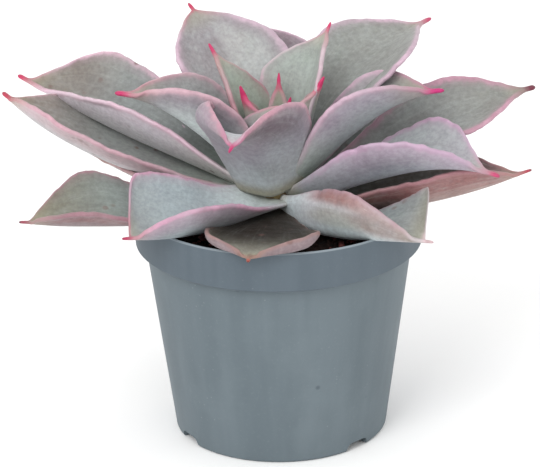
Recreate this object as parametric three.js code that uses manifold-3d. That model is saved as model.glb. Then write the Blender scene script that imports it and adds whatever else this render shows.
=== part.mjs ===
// A potted madiba echeveria: a rosette of broad, channelled leaves on a short stem, in its nursery pot.
// Millimetres, +Z up. The pot stands on Z = 0 with its axis on the Z axis. The photographed front is -Y.
import * as THREE from "three";
import { mergeVertices } from "three/addons/utils/BufferGeometryUtils.js";
import Module from "manifold-3d";

const wasm = await Module();
wasm.setup();

// Pot: a thin moulded pot with a straight rim band. Its floor rests on the ground in the middle. Round
// that runs a raised channel with drain holes, and notches through the foot let the water out.
const RIM_RADIUS = 52.5;
const POT_HEIGHT = 87;
const BAND_HEIGHT = 15;
const WALL = 0.9;
const BODY_TOP_RADIUS = 48.6;
const BASE_RADIUS = 39;
const FOOT_WIDTH = 2.2;
const CHANNEL_HEIGHT = 4;
const CHANNEL_FROM = 20;
const CHANNEL_SLOPE = 3;
const FLOOR_THICKNESS = 1.2;
const NOTCH_AZIMUTHS = [-150, -45, 30, 135];
const NOTCH = { width: 10.5, height: 3, corner: 2.6 };
const DRAIN_HOLE = { radius: 4, distance: 30 };
const POT_SEGMENTS = 40;

// Potting mix and stem.
const GAP = 0.35;
const SOIL_EDGE_HEIGHT = 77.2;
const SOIL_CENTRE_HEIGHT = 79;
const STEM_FOOT = 62;
const STEM_RADIUS = 6.2;
const STEM_TOP = 114;
const STEM_SEGMENTS = 14;

// Leaf mesh: stations along the midrib, and points from the midrib out to a margin.
const STATIONS = 10;
const HALF_POINTS = [0, 0.35, 0.68, 0.85, 1];
const MARGIN_THICKNESS = 1.3;
const FULLY_FOLDED_WIDTH = 5;
const LIP_FROM = 0.65;

const degrees = THREE.MathUtils.degToRad;
const clamp = THREE.MathUtils.clamp;
const lerp = THREE.MathUtils.lerp;

// What a leaf has unless the table says otherwise. Lengths are millimetres and angles are degrees.
// A pair gives first the half that lies counter-clockwise of the midrib, seen from above, then the other.
const LEAF_DEFAULTS = {
  rb: 5.5, // distance of the leaf's foot from the stem's axis
  p0: 0, // pitch of the midrib at its foot
  p1: 0, // pitch of the midrib at its tip
  k0: 0.36, // how far the first pitch carries, as a share of the length
  k1: 0.36, // how far the last pitch carries
  daz: 0, // turn of the foot away from the tip's azimuth
  bend: 0, // sideways turn of the last stretch
  w: 20, // half width
  sw: 0.55, // where along the leaf that width is reached
  b: 0.42, // width of the foot, as a share of w
  e: 1.25, // how late the leaf widens
  q: 1.25, // how pointed it ends
  keel: 20, // rise of each half next to the midrib
  edge: 50, // rise of each half at its margin
  lip: 0, // further rise in the outer third of each half
  base: 0.6, // share of that rise at the foot
  fs: 0, // where the rise starts to grow
  fe: 0.35, // where it is full
  nose: 1, // share of the rise at the tip
  roll: 0, // turn of the leaf about its midrib
  twist: 0, // further turn towards the tip
  th: 3.2, // thickness at the midrib
  mucro: 3, // length of the fine point
};

// The leaves, oldest and lowest first. tip is the end of the midrib and zb is the height of its foot.
const LEAVES = {
  outer_leaf_1: {
    tip: [-11, -60, 87], zb: 84.5, p0: 1, p1: -38, k0: 0.3, k1: 0.15, w: [24.5, 20], keel: 6, edge: -9,
    lip: 110, nose: 2.4, sw: 0.72, b: 0.3, e: 2.2, q: 1.6, base: 0, fs: 0.4, fe: 0.7, th: 2.8,
  },
  outer_leaf_2: {
    tip: [54, -48, 88.5], zb: 84, daz: -18, bend: 25, p0: -6, p1: -4, w: [25.5, 19], keel: [25, 40],
    edge: [46, 70], lip: [0, 60], roll: -42, twist: 42, sw: [0.9, 0.56], q: [1, 1.2], e: [2.6, 1.25],
  },
  outer_leaf_3: {
    tip: [-55, -46, 91], zb: 88, daz: 12, bend: -12, p0: -2, p1: 8, w: [20, 28], keel: 25,
    edge: [65, 55], sw: [0.7, 0.78], q: [1.1, 0.9], b: [0.5, 0.45], e: [1.9, 1.8], base: [0.2, 0.6],
    fe: 0.45,
  },
  outer_leaf_4: {
    tip: [-92, -31, 92], zb: 81, daz: 12, bend: -18, p0: 13, p1: 2, w: [15.5, 25], keel: 20, edge: 45,
    sw: [0.84, 0.72], b: [0.05, 0.2], e: [3.5, 1.6], q: 0.95, base: [0, 0.3], fs: 0.35, fe: 0.72,
  },
  outer_leaf_5: {
    tip: [92, 0, 97], zb: 86, p0: -8, p1: 18, w: [22, 20], keel: 30, edge: 58, sw: [0.6, 0.72], b: 0.32,
    e: 1.5,
  },
  outer_leaf_6: { tip: [-70, 24, 98], zb: 85, p0: 2, p1: 20, w: 16, keel: 15, edge: 35, sw: 0.6 },
  outer_leaf_7: {
    tip: [64, 47, 96], zb: 84, p0: 6, p1: 8, w: 20, keel: 20, edge: 45, sw: 0.68, b: 0.22, e: 1.8,
  },
  outer_leaf_8: {
    tip: [21, 83, 96], zb: 83, p0: 8, p1: 10, w: 21, keel: 20, edge: 45, sw: 0.7, b: 0.22, e: 1.8,
  },
  outer_leaf_9: {
    tip: [-28, 83, 97], zb: 86, p0: 6, p1: 6, w: 20, keel: 20, edge: 48, sw: 0.7, b: 0.22, e: 1.8,
  },
  outer_leaf_10: {
    tip: [-62, 60, 93], zb: 82, p0: 8, p1: 4, w: 19, keel: 15, edge: 36, sw: 0.7, b: 0.22, e: 1.8,
  },
  middle_leaf_1: {
    tip: [-100, 20, 123], zb: 90, p0: 0, p1: 38, k1: 0.34, w: [22, 26], keel: [20, 2], edge: [50, 12],
    nose: [1.35, 1], sw: [0.8, 0.75], b: [0.2, 0.4], e: [1.8, 1.4], q: [0.85, 1.15], roll: 4,
    twist: -10,
  },
  middle_leaf_2: {
    tip: [79, -20, 102], zb: 88, p0: 18, p1: -20, w: [22, 18], keel: [25, 42], edge: [45, 62],
    lip: [0, 20], roll: -16, twist: 24, sw: [0.7, 0.5], q: [1.7, 1.2], b: [0.2, 0.42], e: [2.4, 1.25],
  },
  middle_leaf_3: {
    tip: [-96, 45, 121], zb: 89, p0: 20, p1: 22, w: [23.5, 27], keel: [32, 25], edge: [64, 60],
    sw: [0.5, 0.76], q: [1.6, 1.25], b: 0.3, e: 1.4,
  },
  middle_leaf_4: {
    tip: [95, 25, 120], zb: 90, p0: 22, p1: 8, w: [15.5, 21], keel: 12, edge: 32, roll: 20,
    sw: [0.68, 0.7], b: [0.12, 0.15], e: [2.1, 2.2], q: [1.2, 1.3],
  },
  middle_leaf_5: {
    tip: [-10, 76, 131], zb: 92, p0: 36, p1: 10, w: [20, 22], keel: [20, 10], edge: [45, 30],
    sw: [0.66, 0.65],
  },
  middle_leaf_6: {
    tip: [-53, 74, 107], zb: 88, p0: 18, p1: 6, w: 20, keel: 22, edge: 48, sw: 0.7, b: 0.22, e: 1.8,
  },
  middle_leaf_7: {
    tip: [42, 74, 107], zb: 88, p0: 18, p1: 8, w: 21, keel: 22, edge: 48, sw: 0.68, b: 0.25, e: 1.6,
  },
  upper_leaf_1: {
    tip: [58, 50, 139], zb: 93, p0: 56, p1: 8, k0: 0.42, w: [22, 29.5], keel: 15, edge: [40, 32],
    sw: [0.62, 0.58], b: [0.2, 0.12], e: [1.5, 2.4], q: [1.25, 1.3], mucro: 4,
  },
  upper_leaf_2: {
    tip: [-32, 45, 148], zb: 94, daz: -12, bend: 15, p0: 54, p1: 40, w: [23.5, 22], keel: 10, edge: 30,
    sw: [0.7, 0.6], b: [0.26, 0.36], e: [1.5, 1.25], q: [0.7, 1],
  },
  upper_leaf_3: {
    tip: [60, -3, 129], zb: 94, p0: 44, p1: 2, w: [16.5, 22], keel: 32, edge: [56, 62],
    sw: [0.66, 0.55], b: [0.34, 0.35], e: [1.5, 1.25],
  },
  upper_leaf_4: {
    tip: [-58, 0, 129], zb: 94, p0: 42, p1: 5, w: [19, 21], keel: [45, 30], edge: [85, 54],
    sw: [0.45, 0.55],
  },
  upper_leaf_5: {
    tip: [-17, -45, 122], zb: 92.5, rb: 8, p0: 68, p1: -25, k0: 0.42, w: [24, 32], keel: [13, 10],
    edge: [50, 60], lip: [25, 135], roll: 12, sw: [0.52, 0.54], b: [0.66, 0.5], e: [1.25, 1.15],
    base: [1.2, 0.55],
  },
  heart_leaf_1: {
    tip: [20, 15, 149.5], zb: 100, p0: 70, p1: 60, w: [19, 16.5], edge: [50, 42], keel: 25,
    b: [0.5, 0.3], e: 1.4,
  },
  heart_leaf_2: {
    tip: [-24, 5, 145.5], zb: 100, p0: 60, p1: 60, w: [10, 16], keel: [10, 20], edge: [30, 45],
    roll: -8, sw: 0.4, b: 0.6,
  },
  heart_leaf_3: {
    tip: [-7, 21, 125], zb: 102, p0: 60, p1: 50, w: 10, keel: 25, edge: 50, sw: 0.45, b: 0.6,
  },
  heart_leaf_4: {
    tip: [5, -12, 130.5], zb: 104, p0: 70, p1: 60, w: [14, 17], keel: 25, edge: 60, sw: 0.5, b: 0.6,
  },
  heart_leaf_5: { tip: [17, -6, 136], zb: 104, p0: 60, p1: 60, w: 10, keel: 25, sw: 0.45, b: 0.6 },
  heart_leaf_6: { tip: [-13, -3, 132], zb: 106, p0: 70, p1: 70, w: 6, keel: 25, edge: 60 },
  heart_leaf_7: { tip: [1, 5, 134], zb: 107, rb: 3.4, p0: 80, p1: 80, w: 4, keel: 25, edge: 60, th: 2.4 },
  heart_leaf_8: { tip: [2, -4, 119], zb: 108, rb: 2.4, p0: 80, p1: 80, w: 4, keel: 25, edge: 60, th: 2 },
  heart_leaf_9: { tip: [4, 1, 120], zb: 109, rb: 2.4, p0: 80, p1: 80, w: 3.5, keel: 25, edge: 60, th: 2 },
  heart_leaf_10: {
    tip: [-4, 1, 121], zb: 109, rb: 2.4, p0: 80, p1: 80, w: 3.5, keel: 25, edge: 60, th: 2,
  },
};

// A value that may differ between the two halves: the first of a pair is the counter-clockwise half.
function half(value, first) {
  return Array.isArray(value) ? value[first ? 0 : 1] : value;
}

// A piecewise straight curve through the points (xs, ys).
function along(x, xs, ys) {
  let i = 0;
  while (i < xs.length - 2 && x > xs[i + 1]) i += 1;
  return lerp(ys[i], ys[i + 1], clamp((x - xs[i]) / (xs[i + 1] - xs[i] || 1), 0, 1));
}

// Half width at the share s of the leaf's length: it widens from the foot and closes to the fine point.
function halfWidth(leaf, s, length, first) {
  const fine = leaf.mucro / length;
  const t = clamp(s / (1 - fine), 0, 1);
  const widest = half(leaf.sw, first);
  const foot = half(leaf.b, first);
  const rise = foot + (1 - foot) * Math.sin((Math.PI / 2) * clamp(t / widest, 0, 1)) ** half(leaf.e, first);
  const fall = Math.cos((Math.PI / 2) * clamp((t - widest) / (1 - widest), 0, 1)) ** half(leaf.q, first);
  const blade = half(leaf.w, first) * (t < widest ? rise : fall);
  const point = s > 0.8 ? 0.7 * clamp((1.02 - s) / fine, 0, 1) ** 0.7 : 0;
  return Math.hypot(blade, point);
}

// The midrib: a cubic curve from the stem to the tip, with the section's directions along it.
function midribOf(leaf) {
  const tip = new THREE.Vector3(...leaf.tip);
  const azimuth = Math.atan2(tip.y, tip.x) + degrees(leaf.daz);
  const foot = new THREE.Vector3(leaf.rb * Math.cos(azimuth), leaf.rb * Math.sin(azimuth), leaf.zb);
  const length = tip.distanceTo(foot);
  const direction = (turn, pitch) =>
    new THREE.Vector3(Math.cos(turn) * Math.cos(pitch), Math.sin(turn) * Math.cos(pitch), Math.sin(pitch));
  const last = Math.atan2(tip.y - foot.y, tip.x - foot.x) + degrees(leaf.bend);
  const curve = new THREE.CubicBezierCurve3(
    foot,
    foot.clone().addScaledVector(direction(azimuth, degrees(leaf.p0)), length * leaf.k0),
    tip.clone().addScaledVector(direction(last, degrees(leaf.p1)), -length * leaf.k1),
    tip,
  );
  const across = new THREE.Vector3(-Math.sin(azimuth), Math.cos(azimuth), 0);
  return { curve, across, length };
}

// The place of a section at the share s: its middle, its sideways direction and its upward direction.
function sectionFrame(leaf, midrib, s) {
  const middle = midrib.curve.getPoint(s);
  const forward = midrib.curve.getTangent(s);
  const side = midrib.across.clone().addScaledVector(forward, -midrib.across.dot(forward)).normalize();
  const up = new THREE.Vector3().crossVectors(forward, side);
  const turn = degrees(leaf.roll + leaf.twist * s);
  return {
    middle,
    side: side.clone().multiplyScalar(Math.cos(turn)).addScaledVector(up, Math.sin(turn)),
    up: up.clone().multiplyScalar(Math.cos(turn)).addScaledVector(side, -Math.sin(turn)),
  };
}

// One half of a section as points (out, rise, slope), for a half width of 1. A very narrow part is flat.
function halfSection(leaf, s, width, first) {
  const foot = half(leaf.base, first);
  const fold = along(s, [0, leaf.fs, leaf.fe, 0.75, 1], [foot, foot, 1, 1, half(leaf.nose, first)]);
  const share = fold * Math.min(1, width / FULLY_FOLDED_WIDTH);
  const keel = half(leaf.keel, first);
  const edge = half(leaf.edge, first);
  const curl = half(leaf.lip, first) / (1 - LIP_FROM);
  const slope = (u) =>
    degrees(share * (keel * Math.min(1, u / 0.18) + (edge - keel) * u + curl * Math.max(0, u - LIP_FROM)));
  const steps = 40;
  const points = [];
  let out = 0;
  let rise = 0;
  let next = 0;
  for (let i = 0; i <= steps; i += 1) {
    const u = i / steps;
    if (next < HALF_POINTS.length && u >= HALF_POINTS[next] - 1e-9) {
      points.push({ u, out, rise, slope: slope(u) });
      next += 1;
    }
    out += Math.cos(slope(u + 0.5 / steps)) / steps;
    rise += Math.sin(slope(u + 0.5 / steps)) / steps;
  }
  return points;
}

// The ring of points round a leaf at the share s. grow thickens the leaf all round.
function leafRing(leaf, midrib, s, grow) {
  const { middle, side, up } = sectionFrame(leaf, midrib, s);
  const thickness = leaf.th * along(s, [0, 0.5, 0.85, 1], [1.1, 1, 0.6, 0.2]);
  const upper = [];
  const lower = [];
  for (const first of [false, true]) {
    const sign = first ? 1 : -1;
    const width = halfWidth(leaf, s, midrib.length, first);
    const points = halfSection(leaf, s, width, first);
    const ordered = first ? points.slice(1) : points.reverse();
    for (const { u, out, rise, slope } of ordered) {
      const beyond = u === 1 ? grow : 0;
      const place = middle
        .clone()
        .addScaledVector(side, sign * (width * out + beyond * Math.cos(slope)))
        .addScaledVector(up, width * rise + beyond * Math.sin(slope));
      const normal = side
        .clone()
        .multiplyScalar(-sign * Math.sin(slope))
        .addScaledVector(up, Math.cos(slope));
      const slim = Math.min(MARGIN_THICKNESS, thickness);
      const depth = lerp(thickness, slim, u ** 1.5) / 2 + grow;
      upper.push(place.clone().addScaledVector(normal, depth));
      lower.push(place.clone().addScaledVector(normal, -depth));
    }
  }
  return [...lower, ...upper.reverse()];
}

// A closed solid from rings of points. A ring lists its lower points and then its upper points, going back,
// so each end is closed by a strip of faces from the lower points to the upper ones.
function loft(rings) {
  const count = rings[0].length;
  const last = (rings.length - 1) * count;
  const positions = rings.flatMap((ring) => ring.flatMap((point) => point.toArray()));
  const indices = [];
  for (let j = 0; j < count; j += 1) {
    for (let i = 0; i < rings.length - 1; i += 1) {
      const a = i * count + j;
      const b = i * count + ((j + 1) % count);
      indices.push(a, b, a + count, b, b + count, a + count);
    }
  }
  for (let j = 0; j < count / 2 - 1; j += 1) {
    const [a, b, c, d] = [j, j + 1, count - 2 - j, count - 1 - j];
    indices.push(a, c, b, a, d, c);
    indices.push(last + a, last + b, last + c, last + a, last + c, last + d);
  }
  const geometry = new THREE.BufferGeometry();
  geometry.setAttribute("position", new THREE.Float32BufferAttribute(positions, 3));
  geometry.setIndex(indices);
  return geometry;
}

function leafGeometry(leaf, grow = 0) {
  const midrib = midribOf(leaf);
  const rings = [];
  for (let i = 0; i < STATIONS; i += 1) {
    const t = i / (STATIONS - 1);
    rings.push(leafRing(leaf, midrib, 1 - (1 - t) ** 1.15, grow));
  }
  return loft(rings);
}

function solidOf(geometry) {
  const plain = geometry.clone();
  plain.deleteAttribute("normal");
  plain.deleteAttribute("uv");
  const merged = mergeVertices(plain, 1e-4);
  const solid = new wasm.Manifold(
    new wasm.Mesh({
      numProp: 3,
      vertProperties: new Float32Array(merged.attributes.position.array),
      triVerts: new Uint32Array(merged.index.array),
    }),
  );
  return solid;
}

function geometryOf(solid) {
  const mesh = solid.getMesh();
  const geometry = new THREE.BufferGeometry();
  geometry.setAttribute("position", new THREE.BufferAttribute(mesh.vertProperties, 3));
  geometry.setIndex(new THREE.BufferAttribute(mesh.triVerts, 1));
  geometry.computeVertexNormals();
  return geometry;
}

// The largest piece that is left when a solid has been cut.
function largest(solid) {
  return solid.decompose().reduce((a, b) => (b.volume() > a.volume() ? b : a));
}

// A solid turned from a profile of (radius, height) points that starts and ends on the axis.
function turned(profile, segments = POT_SEGMENTS) {
  const points = profile.map(([radius, height]) => new THREE.Vector2(radius, height));
  return solidOf(new THREE.LatheGeometry(points, segments).rotateX(Math.PI / 2));
}

// The cutter of an arched notch through the pot's foot.
function notchCutter(azimuth) {
  const { width, height, corner } = NOTCH;
  const arch = new THREE.Shape();
  arch.moveTo(-width / 2, -1);
  arch.lineTo(width / 2, -1);
  arch.lineTo(width / 2, height - corner);
  arch.absellipse(width / 2 - corner, height - corner, corner, corner, 0, Math.PI / 2);
  arch.absellipse(corner - width / 2, height - corner, corner, corner, Math.PI / 2, Math.PI);
  const cutter = new THREE.ExtrudeGeometry(arch, { depth: 10, bevelEnabled: false, curveSegments: 3 });
  cutter.rotateX(Math.PI / 2);
  cutter.rotateZ(Math.PI / 2);
  cutter.translate(BASE_RADIUS - 5, 0, 0);
  cutter.rotateZ(degrees(azimuth));
  return solidOf(cutter);
}

// The cutter of a round drain hole in the pot's floor.
function drainCutter(azimuth) {
  const cutter = new THREE.CylinderGeometry(DRAIN_HOLE.radius, DRAIN_HOLE.radius, 6, 16);
  cutter.rotateX(Math.PI / 2);
  cutter.translate(DRAIN_HOLE.distance, 0, CHANNEL_HEIGHT);
  cutter.rotateZ(degrees(azimuth));
  return solidOf(cutter);
}

function potProfile() {
  const bandFoot = POT_HEIGHT - BAND_HEIGHT;
  const bandFootRadius = RIM_RADIUS - 0.3;
  return [
    [0, 0],
    [CHANNEL_FROM, 0],
    [CHANNEL_FROM + CHANNEL_SLOPE, CHANNEL_HEIGHT],
    [BASE_RADIUS - FOOT_WIDTH - 0.6, CHANNEL_HEIGHT],
    [BASE_RADIUS - FOOT_WIDTH - 0.5, 0],
    [BASE_RADIUS - 0.5, 0],
    [BASE_RADIUS, 0.6],
    [BODY_TOP_RADIUS, bandFoot - 0.5],
    [bandFootRadius - 0.6, bandFoot],
    [bandFootRadius, bandFoot + 0.6],
    [RIM_RADIUS, POT_HEIGHT - 0.4],
    [RIM_RADIUS - 0.4, POT_HEIGHT],
    [RIM_RADIUS - WALL, POT_HEIGHT - 0.2],
    [bandFootRadius - WALL, bandFoot + 1.2],
    [BODY_TOP_RADIUS - WALL, bandFoot + 0.6],
    [BASE_RADIUS - WALL, CHANNEL_HEIGHT + FLOOR_THICKNESS],
    [CHANNEL_FROM + CHANNEL_SLOPE - 0.6, CHANNEL_HEIGHT + FLOOR_THICKNESS],
    [CHANNEL_FROM - 0.6, FLOOR_THICKNESS],
    [0, FLOOR_THICKNESS],
  ];
}

function potSolid() {
  let pot = turned(potProfile());
  for (const azimuth of NOTCH_AZIMUTHS) {
    pot = pot.subtract(notchCutter(azimuth)).subtract(drainCutter(azimuth));
  }
  return pot;
}

function stemSolid(grow = 0) {
  return turned(
    [
      [0, STEM_FOOT - grow],
      [STEM_RADIUS * 0.8 + grow, STEM_FOOT - grow],
      [STEM_RADIUS + grow, SOIL_EDGE_HEIGHT],
      [STEM_RADIUS + 0.5 + grow, 88],
      [STEM_RADIUS - 0.6 + grow, 102],
      [STEM_RADIUS * 0.45 + grow, STEM_TOP - 4],
      [STEM_RADIUS * 0.2 + grow, STEM_TOP],
      [0, STEM_TOP + 0.4 + grow],
    ],
    STEM_SEGMENTS,
  );
}

function soilSolid() {
  const bandFoot = POT_HEIGHT - BAND_HEIGHT;
  const floor = FLOOR_THICKNESS + GAP;
  const mix = turned([
    [0, floor],
    [CHANNEL_FROM - 0.7 - GAP, floor],
    [CHANNEL_FROM + CHANNEL_SLOPE - 0.9, CHANNEL_HEIGHT + floor],
    [BASE_RADIUS - WALL - GAP, CHANNEL_HEIGHT + floor],
    [BODY_TOP_RADIUS - WALL - GAP, bandFoot + 0.6 + GAP],
    [RIM_RADIUS - WALL - 2 * GAP, bandFoot + 1.4 + GAP],
    [RIM_RADIUS - WALL - 2 * GAP + 0.1, SOIL_EDGE_HEIGHT],
    [RIM_RADIUS - 9, SOIL_EDGE_HEIGHT + 0.7],
    [STEM_RADIUS * 3, SOIL_CENTRE_HEIGHT - 0.3],
    [0, SOIL_CENTRE_HEIGHT],
  ]);
  return mix.subtract(stemSolid(GAP));
}

// Each leaf gives way to the stem, the pot, the mix and every younger leaf, with a small gap.
function leafSolids(pot, soil) {
  const leaves = Object.entries(LEAVES).map(([name, given]) => [name, { ...LEAF_DEFAULTS, ...given }]);
  const solids = {};
  const taken = [stemSolid(GAP), pot, soil];
  for (const [name, leaf] of leaves.reverse()) {
    solids[name] = largest(taken.reduce((rest, other) => rest.subtract(other), solidOf(leafGeometry(leaf))));
    taken.push(solidOf(leafGeometry(leaf, GAP)));
  }
  return solids;
}

const leafMaterial = (colour) => new THREE.MeshStandardMaterial({ color: colour, roughness: 0.62, metalness: 0 });

function leafColour(name) {
  if (name.startsWith("outer")) return 0xa3a5a0;
  if (name.startsWith("heart")) return 0xaebcae;
  return 0xa6aeb0;
}

const plant = new THREE.Group();

function place(name, solid, material, parent = plant) {
  const mesh = new THREE.Mesh(geometryOf(solid), material);
  mesh.name = name;
  parent.add(mesh);
}

const potBody = potSolid();
const soilBody = soilSolid();
place("pot", potBody, new THREE.MeshStandardMaterial({ color: 0x78848a, roughness: 0.5, metalness: 0 }));
place("potting_mix", soilBody, new THREE.MeshStandardMaterial({ color: 0x2c211c, roughness: 0.95, metalness: 0 }));
place("stem", stemSolid(), new THREE.MeshStandardMaterial({ color: 0x9a8a6c, roughness: 0.8, metalness: 0 }));
for (const [name, solid] of Object.entries(leafSolids(potBody, soilBody))) {
  place(name, solid, leafMaterial(leafColour(name)));
}

export default plant;
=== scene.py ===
import math
import random

import bmesh
import bpy
import numpy as np
from mathutils import Matrix, Vector, noise


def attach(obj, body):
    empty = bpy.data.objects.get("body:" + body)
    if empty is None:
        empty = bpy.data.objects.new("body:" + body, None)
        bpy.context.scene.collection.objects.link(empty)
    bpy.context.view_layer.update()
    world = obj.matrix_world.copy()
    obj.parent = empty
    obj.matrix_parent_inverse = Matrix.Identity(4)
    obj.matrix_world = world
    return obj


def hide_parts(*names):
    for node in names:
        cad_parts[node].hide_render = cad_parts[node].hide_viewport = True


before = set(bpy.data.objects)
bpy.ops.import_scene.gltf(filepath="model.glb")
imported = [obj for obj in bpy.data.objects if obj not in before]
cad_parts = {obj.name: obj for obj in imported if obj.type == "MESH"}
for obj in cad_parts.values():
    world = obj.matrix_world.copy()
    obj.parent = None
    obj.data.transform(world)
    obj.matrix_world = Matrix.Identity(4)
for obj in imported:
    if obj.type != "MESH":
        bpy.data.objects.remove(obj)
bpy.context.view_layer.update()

# A potted madiba echeveria over its CAD frame. The tables are in millimetres and degrees, as the CAD is.
MM = 0.001

# Each leaf's shape, as the CAD builds it but for the waves, the bumps and some thicker points.
# A pair gives first the half that lies counter-clockwise of the midrib, seen from above, then the other.
LEAF_DEFAULTS = {
    "foot_radius": 5.5,  # distance of the leaf's foot from the stem's axis
    "pitch": 0,  # pitch of the midrib at its foot
    "tip_pitch": 0,  # pitch at its tip
    "foot_reach": 0.36,  # how far the first pitch carries, as a share of the length
    "tip_reach": 0.36,  # how far the last pitch carries
    "foot_turn": 0,  # turn of the foot away from the tip's azimuth
    "bend": 0,  # sideways turn of the last stretch
    "width": 20,  # half width
    "widest": 0.55,  # where along the leaf that width is reached
    "foot": 0.42,  # width of the foot, as a share of the half width
    "late": 1.25,  # how late the leaf widens
    "taper": 1.25,  # how pointed it ends
    "keel": 20,  # rise of each half next to the midrib
    "edge": 50,  # rise of each half at its margin
    "lip": 0,  # further rise in the outer third of each half
    "foot_fold": 0.6,  # share of that rise at the foot
    "fold_from": 0,  # where the rise starts to grow
    "fold_full": 0.35,  # where it is full
    "tip_fold": 1,  # share of the rise at the tip
    "roll": 0,  # turn of the leaf about its midrib
    "twist": 0,  # further turn towards the tip
    "thick": 3.2,  # thickness at the midrib
    "point_length": 3,  # length of the fine point
    "wave": 0.22,  # height of the margin's long waves
    "bumps": 0.1,  # height of its short ones
    "point_radius": 0.7,  # radius of the fine point
}

# Shapes shared by the leaves at the back, the young ones and the growing point's.
BACK = dict(widest=0.7, foot=0.22, late=1.8, edge=48)
HEART = dict(pitch=60, tip_pitch=60, keel=25)
POINT = dict(HEART, foot_radius=2.4, pitch=80, tip_pitch=80, width=3.5, edge=60, thick=2)

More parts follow.
